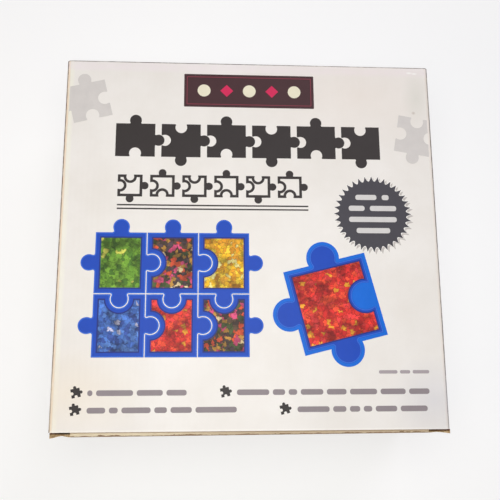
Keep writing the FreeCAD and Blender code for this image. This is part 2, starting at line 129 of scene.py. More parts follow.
# Wear. Values for both sides are by side: -1 is the left and 1 the right
SAG = 0.28  # how far the middle of a large panel lies inside its folds
SAG_WAVE = 0.5  # share of the sag
SAG_TURNS = ((0.045, 0.6), (0.038, -0.4))  # radians a millimetre and at 0, by u and by v
LOOSE_LEFT, LOOSE_RIGHT = 0.85, 0.15  # how far the lower flap's fold stands out at its ends
CRUSH_DEPTH = 14.0  # how far down a crushed corner reaches
PINCHED = 6.0  # side edge below a flap's shoulder whose liners are pinched together
TIP_RISE, TIP_WIDTH = 0.5, 2.2
DENT = {-1: 1.1, 1: 0.495}
DENT_PLACE, DENT_WIDTH = 6.0, 2.4
PRESSED, PRESSED_WIDTH = 0.8, 4.0  # inner face at the tip, as a share of the looseness
SPLAY = {-1: 0.4, 1: 1.6}
SPLAY_WIDTH = 3.0
RAGGED = ((0.07, 0.83, 1.0), (0.05, 2.1, 0.0))  # swing, and radians a millimetre and at 0
RAGGED_DRIFT = 0.31

# Materials of a sheet of board, by their place in its mesh
COATED, KRAFT, EDGE = range(3)
# What a run of a sheet's outline is: "joined" to another sheet, a "flat" cut, or a raw edge
# with a groove between its liners, which is "open" or holds the "flute"
GROOVED = ("open", "flute")


# Fold paths

Span = namedtuple("Span", "begin end start run inward folded")


def spaced(low, high, count):
    return [low + (high - low) * index / count for index in range(count + 1)]


def even_lines(low, high, spacing):
    return spaced(low, high, max(1, round((high - low) / spacing)))


class FoldPath:
    """Outer line of a folded strip of board, by the length along it from its first corner.

    side is 1 if the board's inner face is on the left of the way along, and -1 if it is on
    the right.
    """

    def __init__(self, corners, side):
        points = [Vector(corner) for corner in corners]
        self.spans = []
        start = points[0]
        length = 0.0
        for before, corner, after in zip(points, points[1:], points[2:] + [None]):
            run = (corner - before).normalized()
            inward = Vector((-run.y, run.x)) * side
            reach = 0.0
            if after is not None:
                onward = (after - corner).normalized()
                turn = run.angle(onward)
                reach = FOLD_RADIUS * math.tan(turn / 2)
            straight = (corner - start).length - reach
            self.spans.append(Span(length, length + straight, start, run, inward, False))
            length += straight
            if reach:
                bend = FOLD_RADIUS * turn
                start = corner - run * reach
                self.spans.append(Span(length, length + bend, start, run, inward, True))
                length += bend
                start = corner + onward * reach
        self.length = length

    def at(self, s, depth):
        """The point at a depth through the board. The outer face is at 0."""
        span = next((span for span in self.spans if s < span.end), self.spans[-1])
        if not span.folded:
            return span.start + span.run * (s - span.begin) + span.inward * depth
        angle = (s - span.begin) / FOLD_RADIUS
        normal = span.inward * math.cos(angle) - span.run * math.sin(angle)
        return span.start + span.inward * FOLD_RADIUS - normal * FOLD_RADIUS + normal * depth

    def bend(self, s):
        """1 in the middle of a fold, and 0 a little outside it."""
        value = 0.0
        for span in self.spans:
            if span.folded:
                half = (span.end - span.begin) / 2
                away = abs(s - (span.begin + span.end) / 2)
                value = max(value, 1 - max(away - half / 3, 0.0) / (half * 2 / 3 + SUPPORT))
        return value

    def lines(self):
        """Lengths at which a mesh needs a row of corners."""
        values = []
        for begin, end, *_, folded in self.spans:
            values += spaced(begin, end, FOLD_STEPS) if folded else even_lines(begin, end, GRID)
            if not folded and end - begin > 4 * SUPPORT:
                values += [begin + SUPPORT, end - SUPPORT]
        return sorted(set(values))


# Meshes


def new_object(name, data):
    thing = bpy.data.objects.new(name, data)
    bpy.context.scene.collection.objects.link(thing)
    return thing


class Draft:
    """Faces gathered for one mesh. Corners that coincide are shared.

    Each corner keeps how far the board is bent there, and its place across the flutes.
    """

    def __init__(self):
        self.index = {}
        self.points = []
        self.bends = []
        self.across = []
        self.faces = []
        self.kinds = []

    def corner(self, point, bend, across):
        key = tuple(round(value, 3) for value in point)
        if key not in self.index:
            self.index[key] = len(self.points)
            self.points.append(point * MM)
            self.bends.append(bend)
            self.across.append(across)
        return self.index[key]

    def face(self, corners, kind):
        corners = list(dict.fromkeys(corners))
        if len(corners) > 2:
            self.faces.append(corners)
            self.kinds.append(kind)

    def piece(self, name, materials):
        mesh = bpy.data.meshes.new(name)
        mesh.from_pydata(self.points, [], self.faces)
        for material in materials:
            mesh.materials.append(material)
        mesh.polygons.foreach_set("material_index", self.kinds)
        for label, values in (("bend", self.bends), ("across", self.across)):
            mesh.attributes.new(label, "FLOAT", "POINT").data.foreach_set("value", values)
        work = bmesh.new()
        work.from_mesh(mesh)
        bmesh.ops.remove_doubles(work, verts=work.verts, dist=SAME_PLACE * MM)
        bmesh.ops.recalc_face_normals(work, faces=work.faces)
        work.to_mesh(mesh)
        work.free()
        mesh.shade_smooth()
        mesh.set_sharp_from_angle(angle=math.radians(SHARP_DEG))
        return new_object(name, mesh)


def split_outline(outline, s_lines, t_lines):
    """The outline with a corner wherever it crosses a line, and what each run is."""
    corners = []
    for (s0, t0, kind), (s1, t1, _) in zip(outline, outline[1:] + outline[:1]):
        shares = {0.0}
        for lines, first, last in ((s_lines, s0, s1), (t_lines, t0, t1)):
            if abs(last - first) > PARALLEL:
                crossings = [(line - first) / (last - first) for line in lines]
                shares.update(share for share in crossings if 0.0 < share < 1.0)
        length = math.hypot(s1 - s0, t1 - t0)
        if kind in GROOVED and length > 4 * GROOVE:
            margin = GROOVE_MARGIN / length
            shares = {share for share in shares if margin < share < 1 - margin}
            shares |= {0.0, margin, 1 - margin}
        ordered = []
        for share in sorted(shares):
            if not ordered or (share - ordered[-1]) * length > LEAST_RUN:
                ordered.append(share)
        corners += [(s0 + (s1 - s0) * a, t0 + (t1 - t0) * a, kind) for a in ordered]
    return corners


def groove_steps(corners):
    """For each outline corner, the step across to its groove's floor, in the flat sheet."""
    steps = []
    for index, (s, t, kind) in enumerate(corners):
        before = corners[index - 1]
        after = corners[(index + 1) % len(corners)]
        if kind not in GROOVED or before[2] not in GROOVED:
            steps.append(Vector((0.0, 0.0)))
            continue
        back = Vector((s - before[0], t - before[1])).normalized()
        ahead = Vector((after[0] - s, after[1] - t)).normalized()
        side = Vector((-back.y, back.x)) + Vector((-ahead.y, ahead.x))
        steps.append(side * (2 * GROOVE / max(side.length_squared, 1.0)))
    return steps


class Sheet:
    """A sheet of board, worked out flat: s runs along its fold path, and t across it.

    place gives the point of the carton for s, t and the depth through the board. fluting is
    0 if the flutes follow each other along s, and 1 if they do so along t.
    """

    def __init__(self, draft, path, place, fluting):
        self.draft = draft
        self.path = path
        self.place = place
        self.fluting = fluting

    def corner(self, s, t, depth):
        point = self.place(s, t, depth)
        return self.draft.corner(point, self.path.bend(s), (s, t)[self.fluting])

    def add(self, outline, t_lines):
        """Both faces and the edges. outline is anticlockwise, with the kind of each run."""
        s_lines = self.path.lines()
        corners = split_outline(outline, s_lines, t_lines)
        flat = [Vector(corner[:2]) for corner in corners]
        boundary = list(range(len(flat)))
        low, high = min(point.x for point in flat), max(point.x for point in flat)
        flat += [Vector((s, t)) for s in s_lines if low < s < high for t in t_lines]
        points, _, triangles, *_ = delaunay_2d_cdt(flat, [], [boundary], INSIDE, MESH_TOLERANCE)
        for triangle in triangles:
            for depth, kind in ((0.0, COATED), (BOARD, KRAFT)):
                self.draft.face([self.corner(*points[i], depth) for i in triangle], kind)
        self.add_rim(corners)

    def add_rim(self, corners):
        """Cut edges: plain, or with the liners standing either side of a groove."""
        levels = (0.0, LINER, BOARD - LINER, BOARD)
        steps = groove_steps(corners)

        def at(index, level, inset):
            s, t, _ = corners[index % len(corners)]
            step = steps[index % len(corners)] * float(inset)
            return self.corner(s + step.x, t + step.y, level)

        for index, (_, _, kind) in enumerate(corners):
            if kind == "joined":
                continue
            grooved = kind in GROOVED
            for level, (low, high) in enumerate(zip(levels, levels[1:])):
                inset = grooved and level == 1
                quad = [(index, low), (index + 1, low), (index + 1, high), (index, high)]
                self.draft.face([at(i, depth, inset) for i, depth in quad], EDGE)
            if grooved:
                for depth in levels[1:3]:
                    quad = [(index, False), (index + 1, False), (index + 1, True), (index, True)]
                    self.draft.face([at(i, depth, inset) for i, inset in quad], KRAFT)
        for kind, stretch in groupby(range(len(corners)), lambda index: corners[index][2]):
            if kind == "flute":
                self.add_ribbon(corners, steps, stretch)

    def add_ribbon(self, corners, steps, stretch):
        """The wavy middle paper of the board, in the groove along a stretch of the edge."""
        rings = []
        for index in stretch:
            follower = (index + 1) % len(corners)
            start, end = Vector(corners[index][:2]), Vector(corners[follower][:2])
            count = max(1, math.ceil((end - start).length / RIBBON_STEP))
            for number in range(count):
                share = number / count
                centre = start.lerp(end, share)
                step = steps[index].lerp(steps[follower], share)
                if step.length < GROOVE / 4:
                    continue
                wave = math.sin(2 * math.pi * centre[self.fluting] / FLUTE_PITCH)
                depth = BOARD / 2 + FLUTE_SWING * wave
                low, high = depth - MEDIUM / 2, depth + MEDIUM / 2
                outer, inner = (centre + step * inset for inset in RIBBON_INSETS)
                quad = ((outer, low), (outer, high), (inner, high), (inner, low))
                rings.append([self.corner(*place, level) for place, level in quad])
        for one, two in zip(rings, rings[1:]):
            for side in range(4):
                other = (side + 1) % 4
                self.draft.face([one[side], one[other], two[other], two[side]], EDGE)
        for ring in (rings[0], rings[-1]):
            self.draft.face(ring, EDGE)


def mirrored(half, last_kind):
    """An anticlockwise outline from its half at positive t, which is mirrored for the rest.

    last_kind is what the run that closes the outline is.
    """
    lower = [(s, -t, kind) for s, t, kind in half]
    kinds = [kind for _, _, kind in half[-2::-1]] + [last_kind]
    return lower + [(s, t, kind) for (s, t, _), kind in zip(half[::-1], kinds)]


# Carton shell: the girth, the glue flap and the four dust flaps

GIRTH = FoldPath(
    [
        (-HALF_WIDTH + BOARD + GLUE_GAP + FOLD_RADIUS, 0.0),
        (HALF_WIDTH, 0.0),
        (HALF_WIDTH, DEPTH),
        (-HALF_WIDTH, DEPTH),
        (-HALF_WIDTH, GLUED_EDGE_LIFT),
    ],
    1,
)
BACK, _, RIGHT, _, FRONT, _, LEFT = GIRTH.spans


def relief(u, v):
    """How far a panel's outer face is drawn in: it sags and waves a little between its folds.

    u runs round the girth, and v along the carton.
    """
    value = 0.0
    for begin, end, *_, folded in GIRTH.spans:
        if not folded and begin < u < end:
            share = (u - begin) / (end - begin)
            window = math.sin(math.pi * share) * max(1 - (v / JOINT) ** 2, 0.0)
            (u_turn, u_start), (v_turn, v_start) = SAG_TURNS
            wave = math.sin(u_turn * u + u_start) * math.cos(v_turn * v + v_start)
            value = SAG * (end - begin) / (2 * HALF_WIDTH) * window * (1 + SAG_WAVE * wave)
    return value


def girth_place(u, v, depth):
    point = GIRTH.at(u, depth + relief(u, v))
    return Vector((point.x, v, point.y))


def add_girth(draft):
    crease_start = BACK_END - SUPPORT
    crease_side = BACK.begin + CREASE_HALF - BACK.start.x
    half = [
        (0.0, GLUED_END, "flat"),
        (0.0, crease_start, "flat"),
        (crease_side, crease_start, "flat"),
        (crease_side, BACK_END, "flat"),
        (RIGHT.begin, BACK_END, "flat"),
        (RIGHT.begin, PANEL_END, "flat"),
    ]
    for side, levels, kind in (
        (RIGHT, (DUST_FLAP_LOW, DUST_FLAP_HIGH), "flute"),
        (LEFT, (DUST_FLAP_HIGH, DUST_FLAP_LOW), "flat"),
    ):
        first, last = (side.begin + abs(z - side.start.y) for z in levels)
        half += [
            (first - SLIT, PANEL_END, "flat"),
            (first - SLIT, JOINT, "flat"),
            (first, JOINT, "joined"),
            (last, JOINT, "flat"),
            (last + SLIT, JOINT, "flat"),
            (last + SLIT, PANEL_END, kind),
        ]
    half.append((GIRTH.length, PANEL_END, "open"))
    sheet = Sheet(draft, GIRTH, girth_place, 0)
    sheet.add(mirrored(half, "joined"), even_lines(-GLUED_END, GLUED_END, GRID))


def add_glue_flap(draft):
    x = -HALF_WIDTH + BOARD + GLUE_GAP
    path = FoldPath([(x, GLUE_FLAP_WIDTH), (x, 0.0), (x + FOLD_RADIUS, 0.0)], 1)
    taper = path.spans[0].end

    def place(s, t, depth):
        point = path.at(s, depth)
        return Vector((point.x, t, point.y))

    outline = [
        (path.length, -GLUED_END, "joined"),
        (path.length, GLUED_END, "flat"),
        (taper, GLUED_END, "flat"),
        (0.0, GLUED_END - GLUE_FLAP_TAPER, "open"),
        (0.0, -GLUED_END + GLUE_FLAP_TAPER, "flat"),
        (taper, -GLUED_END, "flat"),
    ]
    Sheet(draft, path, place, 0).add(outline, even_lines(-GLUED_END, GLUED_END, GRID))


def add_dust_flap(draft, x_sign, y_sign):
    tip = HALF_WIDTH - DUST_FLAP_LENGTH
    path = FoldPath([(HALF_WIDTH, -JOINT), (HALF_WIDTH, -PANEL_END), (tip, -PANEL_END)], -1)
    low, high = DUST_FLAP_LOW, DUST_FLAP_HIGH
    step_level = high - DUST_FLAP_STEP_DROP
    side = RIGHT if x_sign > 0 else LEFT
    levels = [GIRTH.at(u, 0.0).y for u in GIRTH.lines() if side.begin < u < side.end]

    def place(s, t, depth):
        point = path.at(s, depth)
        return Vector((point.x * x_sign, -point.y * y_sign, t))

    def s_at(x):
        return path.length - (x - tip)

    outline = [
        (0.0, low, "open"),
        (s_at(tip + DUST_FLAP_TIP_CUT / 2), low, "flute"),
        (s_at(tip), low + DUST_FLAP_TIP_CUT, "flute"),
        (s_at(tip), step_level - DUST_FLAP_TIP_CUT, "flute"),
        (s_at(tip + DUST_FLAP_TIP_CUT), step_level, "open"),
        (s_at(HALF_WIDTH - DUST_FLAP_STEP), step_level, "open"),
        (s_at(HALF_WIDTH - DUST_FLAP_STEP / 2), high, "open"),
        (0.0, high, "joined"),
    ]
    Sheet(draft, path, place, 1).add(outline, [z for z in levels if low < z < high])


# Tuck flaps, whose lips are tucked in behind the front panel


def lip_tip():
    """The lip's tip in Y and Z, tilted in so that it clears the front panel as it swings."""
    mouth = BOARD + END_CLEARANCE
    reach = BOARD + LIP_LENGTH
    tip_level = math.sqrt((INNER_TOP - SWING_CLEARANCE) ** 2 + mouth**2 - reach**2)
    tilt = math.atan2(FOLD_LEVEL - tip_level, LIP_LENGTH)
    return -HALF_HEIGHT + math.cos(tilt) * reach, FOLD_LEVEL - math.sin(tilt) * reach


# Outer lines of the lower flap in Y and Z, from its crease: over its lip, and beside it
LIP_PATH = FoldPath([(-HALF_HEIGHT, FLAP_START), (-HALF_HEIGHT, FOLD_LEVEL), lip_tip()], -1)
SHOULDER_PATH = FoldPath([(-HALF_HEIGHT, FLAP_START), (-HALF_HEIGHT, DEPTH)], -1)
LIP_FOLD = LIP_PATH.spans[0].end
SHOULDER = LIP_FOLD + BOARD - SHOULDER_DROP


def closure_outline():
    half = [
        (0.0, FLAP_HALF - HINGE_CORNER_CUT + FLAP_START, "flat"),
        (HINGE_CORNER_CUT - FLAP_START, FLAP_HALF, "open"),
        (SHOULDER - PINCHED, FLAP_HALF, "flat"),
        (SHOULDER, FLAP_HALF, "flute"),
        (SHOULDER, LIP_HALF + SLIT, "flat"),
        (LIP_FOLD, LIP_HALF + SLIT, "flat"),
        (LIP_FOLD, LIP_HALF, "flat"),
    ]
    r = LIP_CORNER_RADIUS
    for angle in spaced(0.0, math.pi / 2, LIP_CORNER_STEPS):
        s = LIP_PATH.length - r + r * math.sin(angle)
        half.append((s, LIP_HALF - r + r * math.cos(angle), "flute"))
    return mirrored(half, "flat")


def looseness(t):
    """How far the lower flap's fold stands out of the end: it bows, more on the left."""
    share = (FLAP_HALF - t) / (2 * FLAP_HALF)
    return LOOSE_RIGHT + (LOOSE_LEFT - LOOSE_RIGHT) * share


def hump(distance, width):
    """1 at no distance, dying away over the width."""
    return math.exp(-((distance / width) ** 2))


def crush(near, t, depth):
    """How far the lower flap's free corner stands out, by its nearness to the shoulder."""
    reach = FLAP_HALF - abs(t)
    share = near * max(1 - reach / (2 * LIP_SHOULDER), 0.0)
    outer = TIP_RISE * hump(reach, TIP_WIDTH)
    outer -= DENT[math.copysign(1, t)] * hump(reach - DENT_PLACE, DENT_WIDTH)
    inner = -PRESSED * looseness(t) * hump(reach, PRESSED_WIDTH)
    return share * (outer + (inner - outer) * depth / BOARD)


def ragged(t):
    """How far the rubbed fold stands out: a wave, and a finer one that comes and goes."""
    slow, fine = (swing * math.sin(turn * t + start) for swing, turn, start in RAGGED)
    return slow + fine * math.sin(RAGGED_DRIFT * t)


def closure(name, y_sign, materials):
    """A tuck flap with its lip. The lower one stands loose and has crushed corners."""

    def place(s, t, depth):
        beside_lip = s > LIP_FOLD and abs(t) > LIP_HALF + SLIT / 2
        path = SHOULDER_PATH if beside_lip else LIP_PATH
        if y_sign > 0:
            point = path.at(s, depth)
            return Vector((t, -point.x, point.y))
        near = max(1 - (SHOULDER - min(s, SHOULDER)) / CRUSH_DEPTH, 0.0)
        shift = crush(near, t, depth)
        if abs(t) < LIP_HALF:
            shift += path.bend(s) * ragged(t)
        side = math.copysign(1, t)
        widened = t + side * SPLAY[side] * hump(FLAP_HALF - abs(t), SPLAY_WIDTH) * near
        point = path.at(s, depth - shift)
        loose = looseness(t) * min(s / LIP_FOLD, 1.0) ** 2
        return Vector((widened, point.x - loose, point.y))

    draft = Draft()
    t_lines = even_lines(-FLAP_HALF, FLAP_HALF, FLAP_GRID)[1:-1]
    Sheet(draft, LIP_PATH, place, 1).add(closure_outline(), t_lines)
    return draft.piece(name, materials)


def crease(name, y_sign, materials):
    """The scored bend between the back panel and a tuck flap."""
    path = FoldPath(
        [(-BACK_END + SUPPORT, 0.0), (-HALF_HEIGHT, 0.0), (-HALF_HEIGHT, FLAP_START)], -1
    )
    end_half = FLAP_HALF - HINGE_CORNER_CUT + FLAP_START

    def place(s, t, depth):
        point = path.at(s, depth)
        return Vector((t, -point.x * y_sign, point.y))

    outline = [
        (path.length, -end_half, "flat"),
        (path.length, end_half, "flat"),
        (0.0, CREASE_HALF, "flat"),
        (0.0, -CREASE_HALF, "flat"),
    ]
    draft = Draft()
    Sheet(draft, path, place, 1).add(outline, even_lines(-CREASE_HALF, CREASE_HALF, GRID))
    return draft.piece(name, materials)


# Printed shapes, in millimetres on the front panel

TAB_RADIUS = 0.17  # of a piece's shorter side
TAB_OFFSET = 0.1
TAB_NECK = 0.022
HEAD_POINTS = 22
NECK_POINTS = 4
LEAST_NECK = 0.05
BAR_CORNER_POINTS = 4
BAR_ROUNDNESS = 0.42
LABEL_CENTRE = Vector((-0.7, 86.3))
LABEL_SIZE = (74.8, 20.1)
LABEL_CORNER = 0.5
LABEL_MARK_REACH = 2
LABEL_MARK_PITCH = 13.0
LABEL_MARK_RADIUS = 3.7
DISC_SIDES, DIAMOND_SIDES = 28, 4
LABEL_LINE = (1.5, 1.9)  # how far its outer and inner edges lie inside the label's
HEADING_PLACE = (-76.0, 55.7)
HEADING_PIECE = (22.0, 19.5)
HEADING_PITCH = 25.6
LINE_PLACE = (-74.0, 29.0)
LINE_PIECE = (13.6, 12.6)
LINE_PITCH = 17.8
LINE_STROKE = 1.5
ROW_COUNT = 6
RULE_HEIGHT = 0.8
RULE_CORNER = 0.1
RULE_LEVELS = (17.9, 15.8)
BADGE_CENTRE = Vector((68.3, 13.9))
BADGE_OUTER_RADIUS = 22.0
BADGE_INNER_RADIUS = 19.0
BADGE_TEETH = 36
BADGE_TOOTH_POINTS = 8
BADGE_TOOTH_POWER = 1.9
BADGE_RIM = 0.5
BADGE_SHADOW_GROW = 0.2
BADGE_SHADOW_SHIFT = Vector((1.1, -1.0))
BADGE_BAR_HEIGHT = 3.0
BADGE_BAR_LEVELS = (9.6, 3.2, -3.2, -9.6)
BADGE_BAR_WORDS = ((12.0, 4.0), (9.0, 15.0), (27.0,), (19.0,))
BADGE_WORD_GAP = 3.0
MOSAIC_COUNT, MOSAIC_COLUMNS = 6, 3
MOSAIC_LEFT = -85.0
MOSAIC_TOP = 2.5
MOSAIC_PITCH = (28.0, 34.0)
MOSAIC_GAP = 0.25
MOSAIC_FRAME = 2.4
STACK_CENTRE = (45.5, -36.5)
STACK_PIECE = 43.0
STACK_TURN_DEG = 14.0
STACK_RIM = 1.6
STACK_BAND = 1.8
FRAME_WALL = 0.7
FRAME_LINE = (0.2, 0.65)  # how far its two edges lie inside a frame's
ICON_PIECE = 4.7
ICON_TURN_DEG = 12.0
ICON_PLACES = ((-91.7, -83.4), (-14.3, -83.4), (-92.0, -92.2), (17.0, -92.4))
WORD_HEIGHT = 2.9
WORD_GAP = 1.9
WORD_ROWS = (
    (-85.7, -83.5, (2.6, 19.0, 13.5, 10.5)),
    (-8.1, -83.5, (17.0, 6.5, 4.5, 12.0, 10.5, 14.5, 13.5, 11.0)),
    (-85.7, -92.3, (9.5, 4.5, 15.0, 6.5, 11.0, 21.5)),
    (23.7, -92.4, (17.0, 7.0, 5.5, 4.5, 11.5, 14.5)),
)
NOTE_ROWS = ((67.9, -73.3, (10.0, 5.5, 9.0)),)
NOTE_HEIGHT = 1.8
NOTE_GAP = 1.4
PALE_PIECE = 22.0
PALE_PLACES = (
    ((-91.5, 78.5), 14.0, (-1, -1, 1, 1)),
    ((95.0, 60.5), -10.0, (1, -1, -1, -1)),
)
INK = 0.06
INK_ROOT = INK / 3  # how far a film reaches into the board


def arc_points(centre, radius, start, end, count):
    """Points from one angle to another, both ends included."""
    return [
        centre + Vector((math.cos(angle), math.sin(angle))) * radius
        for angle in spaced(start, end, count)
    ]


def side_points(length, sign, radius, offset, neck):
    """One side of a jigsaw piece along +X, with a tab outwards at -Y if sign is 1."""
    middle = Vector((length / 2, -offset * sign))
    if not sign or radius <= offset:
        return [Vector((0.0, 0.0))]
    spread = math.sqrt((radius + neck) ** 2 - (offset - neck) ** 2)
    left = Vector((length / 2 - spread, -neck * sign))
    right = Vector((length / 2 + spread, -neck * sign))
    slope = math.atan2(offset - neck, spread)
    quarter = math.pi / 2
    points = [Vector((0.0, 0.0))]
    points += arc_points(left, neck, quarter * sign, -slope * sign, NECK_POINTS)
    head = arc_points(
        middle, radius, (math.pi - slope) * sign, (2 * math.pi + slope) * sign, HEAD_POINTS
    )
    points += head[1:-1]
    points += arc_points(right, neck, (math.pi + slope) * sign, quarter * sign, NECK_POINTS)
    return points


def piece_outline(size, signs, place, turn_deg=0.0, inset=0.0):
    """A jigsaw piece. signs are for its bottom, right, top and left sides."""
    unit = min(size)
    half_x, half_y = size[0] / 2 - inset, size[1] / 2 - inset
    corners = [(-half_x, -half_y), (half_x, -half_y), (half_x, half_y), (-half_x, half_y)]
    turn = Matrix.Rotation(math.radians(turn_deg), 2)
    points = []
    for index, sign in enumerate(signs):
        start = Vector(corners[index])
        run = Vector(corners[(index + 1) % 4]) - start
        along = run.normalized()
        out = Vector((-along.y, along.x))
        radius = TAB_RADIUS * unit - inset * sign
        offset = TAB_OFFSET * unit + inset * sign
        neck = max(TAB_NECK * unit + inset * sign, LEAST_NECK)
        for point in side_points(run.length, sign, radius, offset, neck):
            points.append(turn @ (start + along * point.x + out * point.y) + Vector(place))
    return points


def rounded_bar(left, centre_y, length, height, radius):
    points = []
    for x, y, start in (
        (left + length - radius, centre_y - height / 2 + radius, -math.pi / 2),
        (left + length - radius, centre_y + height / 2 - radius, 0.0),
        (left + radius, centre_y + height / 2 - radius, math.pi / 2),
        (left + radius, centre_y - height / 2 + radius, math.pi),
    ):
        end = start + math.pi / 2
        points += arc_points(Vector((x, y)), radius, start, end, BAR_CORNER_POINTS)
    return points


def bars(rows, height, gap):
    """Bars for words. A row has its left end, its level and its words' lengths."""
    shapes = []
    for left, y, lengths in rows:
        for length in lengths:
            shapes.append(rounded_bar(left, y, length, height, height * BAR_ROUNDNESS))
            left += length + gap
    return shapes


def label_marks(first, sides):
    """Every second mark of the label's row, with so many sides."""
    shapes = []
    for index in range(first, LABEL_MARK_REACH + 1, 2):
        centre = LABEL_CENTRE + Vector((index * LABEL_MARK_PITCH, 0.0))
        shapes.append(arc_points(centre, LABEL_MARK_RADIUS, 0.0, 2 * math.pi, sides)[:-1])
    return shapes


def label_line(inset):
    width, height = (side - 2 * inset for side in LABEL_SIZE)
    left = LABEL_CENTRE.x - width / 2
    return [rounded_bar(left, LABEL_CENTRE.y, width, height, LABEL_CORNER)]


def piece_row(place, size, pitch, first, open_ends, inset=0.0):
    """A row of pieces. first is for the first one's bottom, and the next ones take turns."""
    shapes = []
    for index in range(ROW_COUNT):
        bottom = first * (-1) ** index
        right = int(open_ends or index < ROW_COUNT - 1)
        left = -int(open_ends or index > 0)
        centre = (place[0] + size[0] / 2 + index * pitch, place[1])
        shapes.append(piece_outline(size, (bottom, right, -bottom, left), centre, 0.0, inset))
    return shapes


def line_pieces(inset):
    return piece_row(LINE_PLACE, LINE_PIECE, LINE_PITCH, 1, True, inset)


def rules():
    tab = (TAB_RADIUS + TAB_OFFSET) * min(LINE_PIECE)
    length = LINE_PITCH * (ROW_COUNT - 1) + LINE_PIECE[0] + tab
    left = LINE_PLACE[0]
    return [rounded_bar(left, y, length, RULE_HEIGHT, RULE_CORNER) for y in RULE_LEVELS]


def badge(grow=0.0, shift=Vector((0.0, 0.0))):
    count = BADGE_TEETH * BADGE_TOOTH_POINTS
    points = []
    for index in range(count):
        share = (index % BADGE_TOOTH_POINTS) / BADGE_TOOTH_POINTS
        rise = abs(2 * share - 1) ** BADGE_TOOTH_POWER
        radius = BADGE_INNER_RADIUS + (BADGE_OUTER_RADIUS - BADGE_INNER_RADIUS) * rise + grow
        angle = 2 * math.pi * index / count
        points.append(BADGE_CENTRE + shift + Vector((math.cos(angle), math.sin(angle))) * radius)
    return [points]


def badge_bars():
    rows = []
    for level, lengths in zip(BADGE_BAR_LEVELS, BADGE_BAR_WORDS):
        length = sum(lengths) + BADGE_WORD_GAP * (len(lengths) - 1)
        rows.append((BADGE_CENTRE.x - length / 2, BADGE_CENTRE.y + level, lengths))
    return bars(rows, BADGE_BAR_HEIGHT, BADGE_WORD_GAP)


def mosaic_pieces(inset):
    """Two rows of three pieces, drawn in from a small gap between them."""
    shapes = []
    for index in range(MOSAIC_COUNT):
        row, column = divmod(index, MOSAIC_COLUMNS)
        x = MOSAIC_LEFT + MOSAIC_PITCH[0] * (column + 0.5)
        y = MOSAIC_TOP - MOSAIC_PITCH[1] * (row + 0.5)
        signs = (0 if row else 1, 1, -1 if row else 1, -1 if column else 1)
        shapes.append(piece_outline(MOSAIC_PITCH, signs, (x, y), 0.0, MOSAIC_GAP + inset))
    return shapes


def stack_piece(inset):
    size = (STACK_PIECE, STACK_PIECE)
    return piece_outline(size, (1, -1, 1, 1), STACK_CENTRE, STACK_TURN_DEG, inset)


def framed_pieces(mosaic_inset, stack_inset):
    """The mosaic's pieces, with the turned piece as the last one."""
    return mosaic_pieces(mosaic_inset) + [stack_piece(stack_inset)]


def clipped(shape, limit):
    """The part of an outline that lies between -limit and limit in X."""
    for sign in (-1, 1):
        kept = []
        for point, after in zip(shape, shape[1:] + shape[:1]):
            if point.x * sign <= limit:
                kept.append(point)
            if (point.x * sign <= limit) != (after.x * sign <= limit):
                kept.append(point.lerp(after, (limit * sign - point.x) / (after.x - point.x)))
        shape = kept
    return shape


def pale_pieces():
    shapes = []
    for place, turn, signs in PALE_PLACES:
        shape = piece_outline((PALE_PIECE, PALE_PIECE), signs, place, turn)
        shapes.append(clipped(shape, HALF_WIDTH - FOLD_RADIUS))
    return shapes


def icons():
    size = (ICON_PIECE, ICON_PIECE)
    return [piece_outline(size, (-1, 1, 1, -1), place, ICON_TURN_DEG) for place in ICON_PLACES]


def panel_u(x):
    """Place along the girth of a point on the front panel. Past its sides it goes round."""
    return FRONT.begin + FRONT.start.x - x


def film(name, shapes, holes, material, lift):
    """A closed film of ink that follows the board."""
    flat, faces = [], []
    columns = [panel_u(u) for u in GIRTH.lines()]
    for shape in [*shapes, *holes]:
        outline = split_outline([(*point, "flat") for point in shape], columns, [])
        faces.append(list(range(len(flat), len(flat) + len(outline))))
        flat += [Vector(corner[:2]) for corner in outline]
    low_x, high_x = min(p.x for p in flat), max(p.x for p in flat)
    rows = even_lines(min(p.y for p in flat), max(p.y for p in flat), GRID)
    flat += [Vector((x, y)) for x in columns if low_x < x < high_x for y in rows]
    points, _, triangles, _, _, origins = delaunay_2d_cdt(flat, [], faces, INSIDE, MESH_TOLERANCE)
    draft = Draft()
    borders = {}

    def corner(index, depth):
        x, y = points[index]
        u = panel_u(x)
        return draft.corner(girth_place(u, y, depth), GIRTH.bend(u), u)

    for triangle, covers in zip(triangles, origins):
        if not covers or max(covers) >= len(shapes):
            continue
        for depth in (-lift, INK_ROOT):
            draft.face([corner(index, depth) for index in triangle], 0)
        for pair in zip(triangle, triangle[1:] + triangle[:1]):
            key = tuple(sorted(pair))
            borders[key] = borders.get(key, 0) + 1
    for (a, b), count in borders.items():
        if count == 1:
            rim = [corner(a, -lift), corner(b, -lift), corner(b, INK_ROOT), corner(a, INK_ROOT)]
            draft.face(rim, 0)
    return draft.piece(name, [material])


# Materials

SPECULAR = 0.5
WORN_ROUGHNESS = 0.55
KRAFT_ROUGHNESS, KRAFT_SPECULAR = 0.85, 0.2
SPOT_HEIGHT = 10.0
GAP_SHADE = 1.1
INK_ROUGHNESS = 0.45
INK_SPECULAR = 0.25
INK_SPREAD = 0.04
BIT_SIZE = 2.3
BIT_WOBBLE, BIT_SWING, BIT_TURN = 1.7, 1.5, 0.4
RARE_SHARE = 0.3
